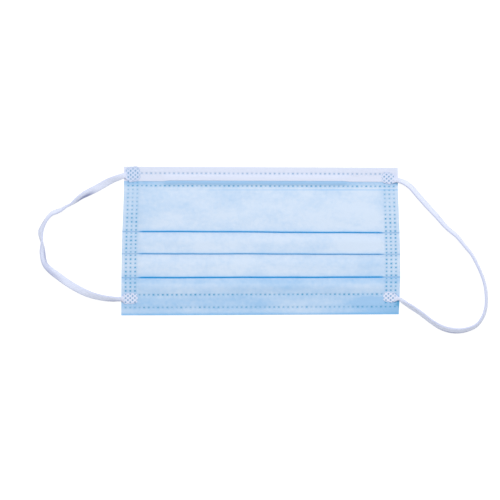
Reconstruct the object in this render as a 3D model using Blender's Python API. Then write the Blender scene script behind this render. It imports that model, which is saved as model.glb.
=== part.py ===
"""A pleated disposable face mask, lying flat with its outer face up. Metres, +Z up.

+X runs along the width, +Y towards the top edge, which holds the nose wire, and z = 0 is the surface under the mask.
The web is one laminate: it starts inside the top hem, makes three knife pleats whose edges point down the face, and
ends in a hem folded under the bottom edge. At the sides its plies are pressed thin and welded into seams.
"""

import math

import bmesh
import bpy
from mathutils import Matrix, Vector

# Outline of the mask
MASK_WIDTH = 0.175
MASK_HEIGHT = 0.0934
RIGHT_SIDE_SHORTER = 0.0014
EDGE_BULGE = 0.0018

# The laminate
WALL = 0.0010
PLY_GAP = 0.0003
SEAM_WIDTH = 0.0120
SEAM_FADE = 0.0060
SEAM_PLY = 0.00055
SEAM_SETBACK = 0.0003

# Pleats and hems
PLEAT_DEPTH = 0.0080
PLEAT_SETBACK = 0.0005
HEM_FRONT = 0.0091
HEM_BACK = 0.0130
BOTTOM_HEM = 0.0145

# Nose wire
WIRE_LENGTH = 0.1070
WIRE_WIDTH = 0.0032
WIRE_THICKNESS = 0.0008
WIRE_DROP = 0.0082
WIRE_OFFSET = -0.0030
WIRE_SIDE_ROOM = 0.0004
WIRE_END_ROOM = 0.0010
RIDGE_SLOPE = 0.0020
RIDGE_RUNOUT = 0.0060

# Ear loops and their welded ends
BAND_WIDTH = 0.0044
BAND_THICKNESS = 0.0014
LOOP_END_LENGTH = 0.0105
LOOP_END_WIDTH = 0.0068
LOOP_END_THICKNESS = 0.0008
LOOP_END_SETBACK = 0.0002

# Segments of round turns
TURN_STEPS = 4
HEM_TURN_STEPS = 6
RISE_STEPS = 4
ROUTE_POINTS = 38

# Each pleat: where its folded edge lies, as a share of the height from the top
PLEATS = (
    {"name": "upper", "edge": 0.436},
    {"name": "middle", "edge": 0.585},
    {"name": "lower", "edge": 0.744},
)

# The side edges: share of the height from the top, and how far each side stands back, as shares of EDGE_BULGE
SIDE_OUTLINE = (
    {"down": 0.00, "left": 0.95, "right": 0.85},
    {"down": 0.16, "left": 0.95, "right": 0.80},
    {"down": 0.33, "left": 0.60, "right": 0.45},
    {"down": 0.45, "left": 0.35, "right": 0.20},
    {"down": 0.60, "left": 0.15, "right": 0.00},
    {"down": 0.75, "left": 0.05, "right": 0.00},
    {"down": 0.90, "left": 0.00, "right": 0.25},
    {"down": 1.00, "left": 0.00, "right": 0.50},
)

# The welded ends of the loops: the corner, the centre's distance from the top or bottom edge as a share of the
# height, the turn of the end in degrees, and how many plies of the mask lie under it
LOOP_ENDS = (
    {"name": "top_left", "side": -1, "from_top": True, "inset": 0.064, "turn": 18.0, "plies": 3},
    {"name": "top_right", "side": 1, "from_top": True, "inset": 0.088, "turn": -12.0, "plies": 3},
    {"name": "bottom_left", "side": -1, "from_top": False, "inset": 0.110, "turn": 3.0, "plies": 2},
    {"name": "bottom_right", "side": 1, "from_top": False, "inset": 0.102, "turn": -7.0, "plies": 2},
)

# Sections of a welded end, from the mask's edge inwards: shares of its length and width, and how much of the band's
# round form is left
LOOP_END_SECTIONS = (
    {"along": 0.00, "width": 0.60, "band": 1.0},
    {"along": 0.12, "width": 0.76, "band": 0.6},
    {"along": 0.28, "width": 1.00, "band": 0.1},
    {"along": 0.88, "width": 1.00, "band": 0.0},
    {"along": 1.00, "width": 0.80, "band": 0.0},
)

# The loops' routes, from the upper weld to the lower one, as (x, y, z, turn of the flat band in degrees)
LEFT_ROUTE = (
    (-0.0862, 0.0407, 0.00345, 0),
    (-0.0882, 0.0401, 0.00325, 30),
    (-0.0910, 0.0391, 0.00250, 40),
    (-0.0939, 0.0379, 0.00185, 36),
    (-0.0969, 0.0364, 0.00130, 18),
    (-0.1031, 0.0329, 0.00105, 10),
    (-0.1094, 0.0297, 0.00170, 38),
    (-0.1126, 0.0278, 0.00205, 56),
    (-0.1156, 0.0256, 0.00220, 68),
    (-0.1190, 0.0230, 0.00230, 88),
    (-0.1220, 0.0216, 0.00230, 96),
    (-0.1252, 0.0195, 0.00220, 108),
    (-0.1283, 0.0183, 0.00210, 120),
    (-0.1312, 0.0170, 0.00215, 114),
    (-0.1342, 0.0136, 0.00220, 106),
    (-0.1366, 0.0093, 0.00215, 114),
    (-0.1379, 0.0056, 0.00200, 128),
    (-0.1375, 0.0012, 0.00220, 106),
    (-0.1370, -0.0014, 0.00230, 88),
    (-0.1369, -0.0046, 0.00220, 66),
    (-0.1367, -0.0082, 0.00205, 54),
    (-0.1360, -0.0121, 0.00190, 48),
    (-0.1342, -0.0159, 0.00170, 36),
    (-0.1315, -0.0189, 0.00150, 28),
    (-0.1284, -0.0210, 0.00110, 12),
    (-0.1222, -0.0256, 0.00095, 6),
    (-0.1159, -0.0295, 0.00090, 0),
    (-0.1097, -0.0326, 0.00125, -18),
    (-0.1035, -0.0347, 0.00155, -30),
    (-0.0971, -0.0360, 0.00175, -38),
    (-0.0926, -0.0364, 0.00195, -42),
    (-0.0895, -0.0365, 0.00230, -36),
    (-0.0880, -0.0364, 0.00245, 0),
)
RIGHT_ROUTE = (
    (0.0864, 0.0379, 0.00345, 0),
    (0.0885, 0.0373, 0.00330, 36),
    (0.0911, 0.0360, 0.00285, 50),
    (0.0943, 0.0335, 0.00235, 54),
    (0.0974, 0.0299, 0.00205, 54),
    (0.1037, 0.0227, 0.00205, 54),
    (0.1099, 0.0160, 0.00210, 58),
    (0.1162, 0.0087, 0.00215, 68),
    (0.1227, 0.0032, 0.00220, 70),
    (0.1257, -0.0004, 0.00225, 74),
    (0.1288, -0.0042, 0.00225, 78),
    (0.1320, -0.0082, 0.00225, 80),
    (0.1353, -0.0141, 0.00225, 82),
    (0.1385, -0.0213, 0.00225, 82),
    (0.1404, -0.0272, 0.00225, 82),
    (0.1412, -0.0326, 0.00225, 80),
    (0.1414, -0.0383, 0.00225, 80),
    (0.1407, -0.0434, 0.00225, 78),
    (0.1391, -0.0477, 0.00225, 77),
    (0.1361, -0.0520, 0.00225, 75),
    (0.1320, -0.0546, 0.00220, 70),
    (0.1257, -0.0562, 0.00215, 62),
    (0.1193, -0.0560, 0.00205, 56),
    (0.1130, -0.0541, 0.00210, 60),
    (0.1068, -0.0504, 0.00220, 68),
    (0.1005, -0.0455, 0.00220, 66),
    (0.0942, -0.0413, 0.00215, 64),
    (0.0911, -0.0393, 0.00220, 66),
    (0.0893, -0.0380, 0.00240, 40),
    (0.0882, -0.0372, 0.00255, 0),
)

TOP = MASK_HEIGHT / 2
# The tilt of a curve point that lays the band flat; without it the band would stand on its edge
FLAT_TILT = math.pi / 2


def clear_scene():
    for obj in list(bpy.data.objects):
        bpy.data.objects.remove(obj)


def make_material(name, colour, roughness):
    material = bpy.data.materials.new(name)
    material.use_nodes = True
    shader = material.node_tree.nodes["Principled BSDF"]
    shader.inputs["Base Color"].default_value = (*colour, 1.0)
    shader.inputs["Roughness"].default_value = roughness
    shader.inputs["Metallic"].default_value = 0.0
    material.diffuse_color = (*colour, 1.0)
    return material


def add_object(name, data, material):
    data.materials.append(material)
    obj = bpy.data.objects.new(name, data)
    bpy.context.scene.collection.objects.link(obj)
    return obj


def smooth(share):
    """0 up to share 0, 1 from share 1, and a smooth step between."""
    share = min(max(share, 0.0), 1.0)
    return share * share * (3 - 2 * share)


def from_table(rows, key_name, value_name, key):
    """The value at key, read straight between the rows of a table."""
    for row, following in zip(rows, rows[1:]):
        if key <= following[key_name]:
            share = (key - row[key_name]) / (following[key_name] - row[key_name])
            return row[value_name] + (following[value_name] - row[value_name]) * max(share, 0.0)
    return rows[-1][value_name]


def ply_thickness(x):
    """A ply in a fold: pressed in the side seams, and as thick as the wall from where the pressing fades out."""
    from_edge = MASK_WIDTH / 2 - abs(x)
    return SEAM_PLY + (WALL - SEAM_PLY) * smooth((from_edge - SEAM_WIDTH) / SEAM_FADE)


def level(ply, count):
    """Height of the middle of a ply that has count plies under it."""
    return ply / 2 + count * (ply + PLY_GAP)


def ridge(x, y):
    """How far the nose wire lifts the fabric over it."""
    past_end = abs(x - WIRE_OFFSET) - WIRE_LENGTH / 2 - WIRE_END_ROOM
    past_side = abs(TOP - y - WIRE_DROP) - WIRE_WIDTH / 2 - WIRE_SIDE_ROOM
    along = 1 - smooth(past_end / RIDGE_RUNOUT)
    across = 1 - smooth(past_side / RIDGE_SLOPE)
    return (WIRE_THICKNESS + PLY_GAP) * along * across


def place(x, y, z):
    """A point of the flat pattern, moved to the mask's real outline and over the nose wire."""
    across = x / MASK_WIDTH + 0.5
    down = 0.5 - y / MASK_HEIGHT
    left = -MASK_WIDTH / 2 + EDGE_BULGE * from_table(SIDE_OUTLINE, "down", "left", down)
    right = MASK_WIDTH / 2 - EDGE_BULGE * from_table(SIDE_OUTLINE, "down", "right", down)
    taper = 1 - RIGHT_SIDE_SHORTER / MASK_HEIGHT * across
    real_x = left + (right - left) * across
    lies_on_wire = z > WALL + PLY_GAP / 2
    lift = ridge(real_x, y) if lies_on_wire else 0.0
    return Vector((real_x, y * taper, z + lift))


def stations():
    """Where the web's sections stand: the side edges, both ends of the pressing and of the ridge, and between."""
    edge = MASK_WIDTH / 2
    wire_end = WIRE_LENGTH / 2 + WIRE_END_ROOM
    found = []
    for side in (-1, 1):
        found += [side * edge, side * (edge - SEAM_WIDTH)]
        found += [side * (edge - SEAM_WIDTH - SEAM_FADE * share) for share in (0.5, 1.0)]
        found += [WIRE_OFFSET + side * (wire_end + RIDGE_RUNOUT * share) for share in (0.0, 0.5, 1.0)]
        found.append(WIRE_OFFSET + side * wire_end / 2)
    return sorted(found + [WIRE_OFFSET])


def turn(centre_y, centre_z, radius, side, steps):
    """Half a circle from its top to its bottom, bulging to the given side of Y, without its two ends."""
    angles = [math.pi * step / steps for step in range(1, steps)]
    return [(centre_y + side * radius * math.sin(a), centre_z + radius * math.cos(a)) for a in angles]


def rise(start, end, ply):
    """A single ply on its way from one height to another, without its two ends: it has the wall's full thickness."""
    rows = []
    for step in range(1, RISE_STEPS):
        share = step / RISE_STEPS
        y = start[0] + (end[0] - start[0]) * share
        z = start[1] + (end[1] - start[1]) * share
        rows.append((y, z, ply + (WALL - ply) * math.sin(math.pi * share) ** 2))
    return rows


def ridge_distances():
    """Distances from the top edge at which the fabric over the nose wire bends."""
    plateau = WIRE_WIDTH / 2 + WIRE_SIDE_ROOM
    up = [WIRE_DROP - plateau - RIDGE_SLOPE * share for share in (1.0, 0.5, 0.0)]
    down = [WIRE_DROP + plateau + RIDGE_SLOPE * share for share in (0.0, 0.5, 1.0)]
    return up + down


def pleat_edge(pleat):
    return TOP - pleat["edge"] * MASK_HEIGHT


def web_path(x):
    """The web's middle line in the section at x, as rows of (y, z, thickness), from the top hem to the bottom hem."""
    ply = ply_thickness(x)
    pitch = ply + PLY_GAP
    reach = (pitch + ply) / 2
    rows = [(TOP - pitch - ply / 2, level(ply, 1), ply)]
    rows += [(TOP - distance, level(ply, 1), ply) for distance in ridge_distances()]
    leaving = (TOP - HEM_BACK, level(ply, 1))
    for pleat in PLEATS:
        edge = pleat_edge(pleat)
        arriving = (edge + PLEAT_DEPTH, level(ply, 2))
        rows.append((*leaving, ply))
        rows += rise(leaving, arriving, ply)
        rows += [(*arriving, ply), (edge + reach, level(ply, 2), ply)]
        rows += [(*point, ply) for point in turn(edge + reach, level(ply, 1.5), pitch / 2, -1, TURN_STEPS)]
        rows += [(edge + reach, level(ply, 1), ply), (edge + PLEAT_DEPTH - reach, level(ply, 1), ply)]
        back = turn(edge + PLEAT_DEPTH - reach, level(ply, 0.5), pitch / 2, 1, TURN_STEPS)
        rows += [(*point, ply) for point in back]
        rows.append((edge + PLEAT_DEPTH - reach, level(ply, 0), ply))
        leaving = (edge - PLEAT_SETBACK, level(ply, 0))
    arriving = (-TOP + BOTTOM_HEM + PLEAT_SETBACK, level(ply, 1))
    rows.append((*leaving, ply))
    rows += rise(leaving, arriving, ply)
    rows += [(*arriving, ply), (-TOP + reach, level(ply, 1), ply)]
    rows += [(*point, ply) for point in turn(-TOP + reach, level(ply, 0.5), pitch / 2, -1, TURN_STEPS)]
    rows += [(-TOP + reach, level(ply, 0), ply), (-TOP + BOTTOM_HEM, level(ply, 0), ply)]
    return rows


def hem_path(x):
    """The top hem's middle line in the section at x: down the back, from its lower edge round the top to the front."""
    ply = ply_thickness(x)
    pitch = ply + PLY_GAP
    bend = TOP - pitch - ply / 2
    distances = [distance for distance in ridge_distances() if distance < HEM_FRONT]
    rows = [(TOP - HEM_FRONT, level(ply, 2), ply)]
    rows += [(TOP - distance, level(ply, 2), ply) for distance in reversed(distances)]
    rows.append((bend, level(ply, 2), ply))
    rows += [(*point, ply) for point in turn(bend, level(ply, 1), pitch, 1, HEM_TURN_STEPS)]
    rows += [(bend, level(ply, 0), ply), (TOP - HEM_BACK, level(ply, 0), ply)]
    return rows


def two_sides(path, x):
    """The points on both faces of a ply, half its thickness to each side of its middle line."""
    pairs = []
    for index, (y, z, thickness) in enumerate(path):
        before = path[max(index - 1, 0)]
        after = path[min(index + 1, len(path) - 1)]
        along = Vector((after[0] - before[0], after[1] - before[1])).normalized()
        across = Vector((along.y, -along.x)) * thickness / 2
        pairs.append((place(x, y + across.x, z + across.y), place(x, y - across.x, z - across.y)))
    return pairs


def add_sheet(name, path_at, material):
    """A closed sheet through the sections that path_at gives at each station."""
    mesh = bmesh.new()
    rows = []
    for x in stations():
        pairs = two_sides(path_at(x), x)
        rows.append([(mesh.verts.new(outer), mesh.verts.new(inner)) for outer, inner in pairs])
    for row, following in zip(rows, rows[1:]):
        for a, b, c, d in zip(row, row[1:], following[1:], following):
            mesh.faces.new((a[0], b[0], c[0], d[0]))
            mesh.faces.new((a[1], d[1], c[1], b[1]))
        for a, b in ((row[0], following[0]), (row[-1], following[-1])):
            mesh.faces.new((a[0], b[0], b[1], a[1]))
    for row in (rows[0], rows[-1]):
        for a, b in zip(row, row[1:]):
            mesh.faces.new((a[0], b[0], b[1], a[1]))
    return finish_mesh(name, mesh, material)


def finish_mesh(name, mesh, material):
    bmesh.ops.recalc_face_normals(mesh, faces=mesh.faces)
    data = bpy.data.meshes.new(name)
    mesh.to_mesh(data)
    mesh.free()
    data.shade_smooth()
    data.set_sharp_from_angle(angle=math.radians(50))
    return add_object(name, data, material)


def loft(mesh, loops):
    """Joins closed loops of equal length into one capped body."""
    rings = [[mesh.verts.new(point) for point in loop] for loop in loops]
    for ring, following in zip(rings, rings[1:]):
        count = len(ring)
        for index in range(count):
            after = (index + 1) % count
            mesh.faces.new((ring[index], ring[after], following[after], following[index]))
    mesh.faces.new(rings[0])
    mesh.faces.new(list(reversed(rings[-1])))


def add_seam_welds(web, material):
    """Fills the slits between the plies of each fold in both side seams, which makes one stack of them."""
    mesh = bmesh.new()
    pitch = SEAM_PLY + PLY_GAP
    folds = [(pleat_edge(pleat) + SEAM_PLY / 2, pleat_edge(pleat) + PLEAT_DEPTH - SEAM_PLY / 2, 2) for pleat in PLEATS]
    folds.append((-TOP + SEAM_PLY / 2, -TOP + BOTTOM_HEM - PLEAT_SETBACK, 1))
    for side in (-1, 1):
        outside = side * (MASK_WIDTH / 2 - SEAM_SETBACK)
        inside = side * (MASK_WIDTH / 2 - SEAM_WIDTH + SEAM_SETBACK)
        for low, high, plies in folds:
            top = SEAM_PLY / 2 + plies * pitch
            corners = ((low, SEAM_PLY / 2), (high, SEAM_PLY / 2), (high, top), (low, top))
            loft(mesh, [[place(x, y, z) for y, z in corners] for x in (outside, inside)])
    welds = finish_mesh("seam_welds", mesh, material)
    welds.hide_render = True
    welds.display_type = "WIRE"
    union = web.modifiers.new("side seams", "BOOLEAN")
    union.operation = "UNION"
    union.object = welds


def add_nose_wire(material):
    """A flat strip with rounded edges, which follows the top edge between the back of the hem and the panel."""
    mesh = bmesh.new()
    bottom = WALL + PLY_GAP
    half = WIRE_WIDTH / 2
    round_off = WIRE_THICKNESS * 0.3
    outline = (
        (-half + round_off, 0), (half - round_off, 0), (half, round_off), (half, WIRE_THICKNESS - round_off),
        (half - round_off, WIRE_THICKNESS), (-half + round_off, WIRE_THICKNESS),
        (-half, WIRE_THICKNESS - round_off), (-half, round_off),
    )
    loops = []
    for share in (0.0, 0.25, 0.5, 0.75, 1.0):
        x = WIRE_OFFSET + (share - 0.5) * WIRE_LENGTH
        loops.append([(x, place(x, TOP - WIRE_DROP + y, 0.0).y, bottom + z) for y, z in outline])
    loft(mesh, loops)
    return finish_mesh("nose_wire", mesh, material)


def add_loop_end(end, material):
    """The flattened end of an ear loop: as thick as the band at the mask's edge, wide and thin where it is welded."""
    mesh = bmesh.new()
    ply = SEAM_PLY
    base = level(ply, end["plies"]) - ply / 2
    y = TOP - end["inset"] * MASK_HEIGHT if end["from_top"] else -TOP + end["inset"] * MASK_HEIGHT
    edge = place(end["side"] * MASK_WIDTH / 2, y, 0.0)
    inwards = Matrix.Rotation(math.radians(end["turn"]), 2) @ Vector((-end["side"], 0.0))
    sideways = Vector((-inwards.y, inwards.x))
    start = Vector((edge.x, edge.y)) + inwards * LOOP_END_SETBACK
    loops = []
    for section in LOOP_END_SECTIONS:
        half = LOOP_END_WIDTH * section["width"] / 2
        height = LOOP_END_THICKNESS + (BAND_THICKNESS - LOOP_END_THICKNESS) * section["band"]
        round_off = height * 0.35
        profile = (
            (-half + round_off, 0), (half - round_off, 0), (half, round_off), (half, height - round_off),
            (half - round_off, height), (-half + round_off, height), (-half, height - round_off), (-half, round_off),
        )
        middle = start + inwards * LOOP_END_LENGTH * section["along"]
        loops.append([(*(middle + sideways * across), base + up) for across, up in profile])
    loft(mesh, loops)
    return finish_mesh("loop_end_" + end["name"], mesh, material)


def smooth_route(route, count):
    """Points at even distances along a smooth curve through all the points of a route."""
    fine = []
    for index in range(len(route) - 1):
        before = route[max(index - 1, 0)]
        start, end = route[index], route[index + 1]
        after = route[min(index + 2, len(route) - 1)]
        for step in range(8):
            t = step / 8
            fine.append([
                0.5 * (2 * b + (c - a) * t + (2 * a - 5 * b + 4 * c - d) * t**2 + (3 * b - a - 3 * c + d) * t**3)
                for a, b, c, d in zip(before, start, end, after)
            ])
    fine.append(list(route[-1]))
    distances = [0.0]
    for start, end in zip(fine, fine[1:]):
        distances.append(distances[-1] + math.dist(start[:3], end[:3]))
    points = []
    for number in range(count):
        wanted = distances[-1] * number / (count - 1)
        index = next((i for i in range(len(fine) - 1) if distances[i + 1] >= wanted), len(fine) - 2)
        share = (wanted - distances[index]) / (distances[index + 1] - distances[index])
        points.append([a + (b - a) * share for a, b in zip(fine[index], fine[index + 1])])
    return points


def add_ear_loop(name, route, material):
    """A flat soft band with round edges, swept along its route. Its turn raises the edge to the route's right."""
    curve = bpy.data.curves.new(name, "CURVE")
    curve.dimensions = "3D"
    curve.twist_mode = "Z_UP"
    curve.extrude = (BAND_WIDTH - BAND_THICKNESS) / 2
    curve.bevel_depth = BAND_THICKNESS / 2
    curve.bevel_resolution = 2
    curve.use_fill_caps = True
    points = smooth_route(route, ROUTE_POINTS)
    spline = curve.splines.new("POLY")
    spline.points.add(len(points) - 1)
    for point, (x, y, z, degrees) in zip(spline.points, points):
        point.co = (x, y, z, 1.0)
        point.tilt = FLAT_TILT - math.radians(degrees)
    return add_object(name, curve, material)


def build():
    clear_scene()
    outer_fabric = make_material("outer_fabric", (0.60, 0.74, 0.92), 0.85)
    inner_fabric = make_material("inner_fabric", (0.80, 0.81, 0.90), 0.85)
    wire_coating = make_material("wire_coating", (0.86, 0.87, 0.90), 0.45)
    ear_elastic = make_material("ear_elastic", (0.84, 0.84, 0.90), 0.90)
    web = add_sheet("pleated_panel", web_path, outer_fabric)
    add_seam_welds(web, outer_fabric)
    add_sheet("top_hem", hem_path, inner_fabric)
    add_nose_wire(wire_coating)
    for end in LOOP_ENDS:
        add_loop_end(end, ear_elastic)
    add_ear_loop("ear_loop_left", LEFT_ROUTE, ear_elastic)
    add_ear_loop("ear_loop_right", RIGHT_ROUTE, ear_elastic)


build()
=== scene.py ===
"""The looks of a pleated face mask with two ear loops, lying flat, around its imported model.

Everything is in metres in the model's own frame: +X along the width, +Y towards the top edge with the nose
wire, and z = 0 is the surface. The web is shown as its two real layers of nonwoven: a blue one outside and a
white one inside, which wraps over the top edge as the hem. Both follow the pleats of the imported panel.
"""

import math

import bmesh
import bpy
from mathutils import Matrix, Vector, noise


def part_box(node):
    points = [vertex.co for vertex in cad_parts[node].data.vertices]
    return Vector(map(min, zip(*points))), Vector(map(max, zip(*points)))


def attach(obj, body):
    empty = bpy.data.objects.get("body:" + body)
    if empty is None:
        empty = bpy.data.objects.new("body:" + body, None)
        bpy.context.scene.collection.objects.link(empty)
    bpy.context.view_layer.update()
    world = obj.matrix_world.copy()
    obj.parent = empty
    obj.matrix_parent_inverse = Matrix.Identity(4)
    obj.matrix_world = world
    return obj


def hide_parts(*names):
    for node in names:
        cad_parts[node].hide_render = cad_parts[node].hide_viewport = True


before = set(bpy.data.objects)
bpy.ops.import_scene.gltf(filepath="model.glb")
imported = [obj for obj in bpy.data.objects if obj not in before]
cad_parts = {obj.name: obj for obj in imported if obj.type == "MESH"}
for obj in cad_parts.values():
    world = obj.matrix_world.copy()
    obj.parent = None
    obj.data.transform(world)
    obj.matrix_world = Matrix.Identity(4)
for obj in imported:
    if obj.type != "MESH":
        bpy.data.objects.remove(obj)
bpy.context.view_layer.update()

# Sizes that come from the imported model
PANEL_LOW, PANEL_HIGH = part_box("pleated_panel")
_, HEM_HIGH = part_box("top_hem")
MASK_WIDTH = PANEL_HIGH[0] - PANEL_LOW[0]
MASK_HEIGHT = HEM_HIGH[1] - PANEL_LOW[1]
TOP = MASK_HEIGHT / 2

# The mask's outline and folds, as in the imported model
RIGHT_SIDE_SHORTER = 0.0014
EDGE_BULGE = 0.0018
SEAM_WIDTH = 0.0095
SEAM_FADE = 0.0030
PLEAT_DEPTH = 0.0080
PLEAT_SETBACK = 0.0005
HEM_FRONT = 0.0091
BOTTOM_HEM = 0.0145
WIRE_LENGTH = 0.1070
WIRE_WIDTH = 0.0032
WIRE_THICKNESS = 0.0007
WIRE_DROP = 0.0082
WIRE_OFFSET = -0.0030
WIRE_SIDE_ROOM = 0.0003
WIRE_END_ROOM = 0.0010
RIDGE_RUNOUT = 0.0060
WIRE_UPPER_SIDE = WIRE_DROP - WIRE_WIDTH / 2 - WIRE_SIDE_ROOM
WIRE_SIDES = 28
WIRE_STEPS = 40
WIRE_END_SHARE = 0.8
WIRE_END_SLOPE = 0.004
WIRE_WAIST = 0.72
WIRE_POWER = 0.5

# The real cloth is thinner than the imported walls: loose in the middle, pressed in the side seams
LAYER = 0.00017
LAYER_PRESSED = 0.00007
PLY = 0.00038
PLY_PRESSED = 0.00015
NEST = 0.00006
NEST_PRESSED = 0.00001
HEM_NEST = 0.00004
HEM_RISE = 0.0004

# Weld dots: columns along both side seams and rows along both hems, as drops from the top edge
DOT_COLUMN_START = 0.0027
DOT_COLUMNS = 58
SIDE_COLUMNS = 3
DOT_COLUMN_PITCH = (MASK_WIDTH - 2 * DOT_COLUMN_START) / DOT_COLUMNS
DOT_ROW_PITCH = 0.0026
HEM_DOTS = 0.0042
FIRST_SIDE_DOTS = 0.0101
PANEL_TOP_DOTS = 0.0120
HEM_UPPER_DOTS = 0.0806
HEM_LOWER_DOTS = 0.0886
FOLD_CLEAR = 0.00095
DOT_DEPTH_SHARE = 0.65
DOT_STRETCH = 1.2
QUILT_LIFT = 0.00009

# The rings of points of a weld dot, rim first, and how dark the dots look: their unevenness, and where they
# are fainter, up the side seams and along the lowest row
DOT_RINGS = (
    {"radius": 0.00060, "most": 0.8, "depth": 0.0, "weld": 0.30},
    {"radius": 0.00043, "most": 0.6, "depth": 1.0, "weld": 1.00},
)
DOT_TONE = 0.85
DOT_UNEVEN = 0.5
DOT_NOISE_SCALE = 700
SIDE_DOTS = {"faintest": 0.62, "gain": 0.55, "from": 0.030, "over": 0.020}
LOWEST_DOTS = {"faintest": 0.75, "gain": 0.25, "from": 0.055, "over": 0.015, "room": 0.001}

# Lines of the sheet's mesh, as distances from the edges and from the rows of dots
TOP_LINE = 0.0010
EDGE_LINE = 0.0014
HEM_LINES = (0.0014, 0.0030)
BESIDE_DOTS = 0.0009
BESIDE_HEM_DOTS = 0.0013
TURN_STEPS = 6
HEM_TURN_STEPS = 6
SHARP_ANGLE = 60

# Waves of the loose cloth: their sizes, and how far from the hems and seams they begin and reach full height
RIPPLE_HEIGHT = 0.00050
RIPPLE_LENGTH = 0.020
RIPPLE_TOP_FADE = 0.010
RIPPLE_FROM_BOTTOM = 0.006
RIPPLE_BOTTOM_FADE = 0.012
RIPPLE_FROM_SIDE = 0.009
RIPPLE_SIDE_FADE = 0.018
EDGE_WANDER = 0.00006
WANDER_LENGTH_X = 0.022
WANDER_LENGTH_Y = 0.012
RIGHT_SAG = 0.0008
SAG_DOWN = 0.46
SAG_REACH = 0.28
CREST_HEIGHT = 0.0008
CREST_DROP = 0.0052
CREST_SPAN = 0.0110
CREST_LENGTH = 0.03

# How strongly the folds' painted shade lines are drawn, as shares of the crease colour, and how far the
# lines reach from a fold's edge
SEAM_LINE = 0.36
PANEL_SHADE = 0.22
PANEL_SHADE_REACH = 0.0034
FOLD_TOP_LINE = 0.50
HIDDEN_LINE = 0.5
HEM_FOLD = {"near": 0.05, "front": 0.35, "bend": 0.6, "back": 0.3}
LINE_ABOVE = 0.00025
LINE_BELOW = 0.00020
LINE_END = 0.00055
THIRD_CREASE_DROP = 0.0147
THIRD_CREASE_REACH = 0.0005
THIRD_CREASE_LINE = 0.7
CREASE_RISE = 5.0
CREASE_CLOUD = 0.8

# How much deeper painted shade makes the blue below the hem's edge along the nose wire's ridge, how much
# deeper the blue is in the side seams, and where it starts in the hem
RIDGE_SHADE = 0.25
RIDGE_END_ROOM = 0.0005
SEAM_DEPTH = 0.08
HEM_DEPTH_FADE = 0.005

# Ear loops
BAND_WIDTH = 0.0045
BAND_THICKNESS = 0.0016
LOOP_END_LENGTH = 0.0105
LOOP_END_WIDTH = 0.0066
LOOP_END_THICKNESS = 0.00028
NECK_LENGTH = 0.0075
PIT_RADIUS = 0.00080
PIT_DEPTH = 0.00018
RING_POINTS = 56
BAND_STEP = 0.0007
BAND_LEAN = {"elastic_left": 5.0, "elastic_right": 8.0}
LOOP_END_STEP = 0.00026
LOOP_END_SHARES = (1.0, 0.96, 0.9, 0.84, 0.76, 0.55, 0.4, 0.3, 0.2, 0.1, 0.0)
TIP_START = 0.76
TIP_LENGTH = 0.24
TIP_ROUNDING = 0.75
PIT_FLOOR = 0.35
PIT_START = 0.5
PIT_FADE = 0.4
UPPER_FACE = 0.2
ON_WELD = 0.01
NECK_BULGE = 0.25
STANDING_TURN = 20
LEAN_FADE = 8
BAND_CLEAR = 0.0001
CURVE_STEPS = 24
BAND_SIDE_POWER = 0.85
BAND_FACE_POWER = 0.62
RIB_HEIGHT = 0.00006
RIB_COUNT = 5
WRINKLE_HEIGHT = 0.00007
WRINKLE_LENGTH = 0.0022

# The pleats from the top down: where the folded edge lies, as a share of the height, and how strong its
# painted shade line looks on the fold and on the cloth right below it
PLEATS = (
    {"edge": 0.436, "line": 1.00, "below": 0.40},
    {"edge": 0.586, "line": 0.74, "below": 0.30},
    {"edge": 0.7455, "line": 1.00, "below": 0.85},
)

# The side edges, as (share of the height from the top, how far the left side stands back, the right side),
# the last two as shares of EDGE_BULGE
SIDE_OUTLINE = (
    (0.00, 0.95, 0.85), (0.16, 0.95, 0.80), (0.33, 0.60, 0.45), (0.45, 0.35, 0.20),
    (0.60, 0.15, 0.00), (0.75, 0.05, 0.00), (0.90, 0.00, 0.25), (1.00, 0.00, 0.50),
)

# How deep the blue looks, as (drop from the top edge, depth): it is deeper where more plies lie below, and
# painted shade deepens it below the top hem's edge, round the lowest fold and on the lower slope of the wave
# below that fold; it is darker again at the bottom edge
BLUE_DEPTH_AND_SHADE = (
    (0.0000, 0.82), (0.0108, 0.82), (0.0119, 0.34), (0.0130, 0.16), (0.0380, 0.11),
    (0.0660, 0.14), (0.0690, 0.25), (0.0704, 0.50), (0.0716, 0.66), (0.0728, 0.62),
    (0.0742, 0.36), (0.0760, 0.36), (0.0778, 0.42), (0.0800, 0.50), (0.0812, 0.58),
    (0.0830, 0.80), (0.0880, 0.80), (0.0895, 0.52), (0.0915, 0.56), (0.0934, 0.85),
)

# How much deeper or paler the bottom hem is, as (share of the width from the left, times as deep)
HEM_DEPTH = (
    (0.00, 1.00), (0.30, 1.02), (0.50, 1.00), (0.66, 0.62), (0.78, 0.85), (0.88, 1.75), (1.00, 2.20),
)

# Soft patches of deeper or paler blue, as (x, y, reach along X, reach along Y, depth)
CLOUDS = (
    (0.0700, -0.0165, 0.015, 0.009, 0.50),
    (0.0480, -0.0138, 0.014, 0.009, 0.18),
    (0.0630, -0.0020, 0.024, 0.010, -0.25),
    (-0.0760, 0.0240, 0.024, 0.026, 0.25),
    (-0.0780, -0.0020, 0.022, 0.018, 0.16),
    (0.0560, 0.0180, 0.030, 0.018, -0.16),
    (-0.0200, 0.0260, 0.030, 0.012, 0.10),
    (0.0760, 0.0280, 0.014, 0.014, 0.16),
    (0.0000, -0.0290, 0.055, 0.007, 0.30),
    (0.0860, -0.0430, 0.022, 0.011, 0.60),
)

# Painted shadow on the blue layer under the lifted right ends of the elastic, and its duller lower right
# corner, all drawn in the weld colour, as (x, y, reach along X, reach along Y, shade)
CONTACT_SHADES = (
    (0.0864, 0.0362, 0.0034, 0.0017, 1.3),
    (0.0858, -0.0385, 0.0042, 0.0026, 1.7),
    (0.0873, -0.0396, 0.0024, 0.0046, 1.2),
    (0.0870, -0.0450, 0.0200, 0.0100, 0.28),
)

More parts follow.
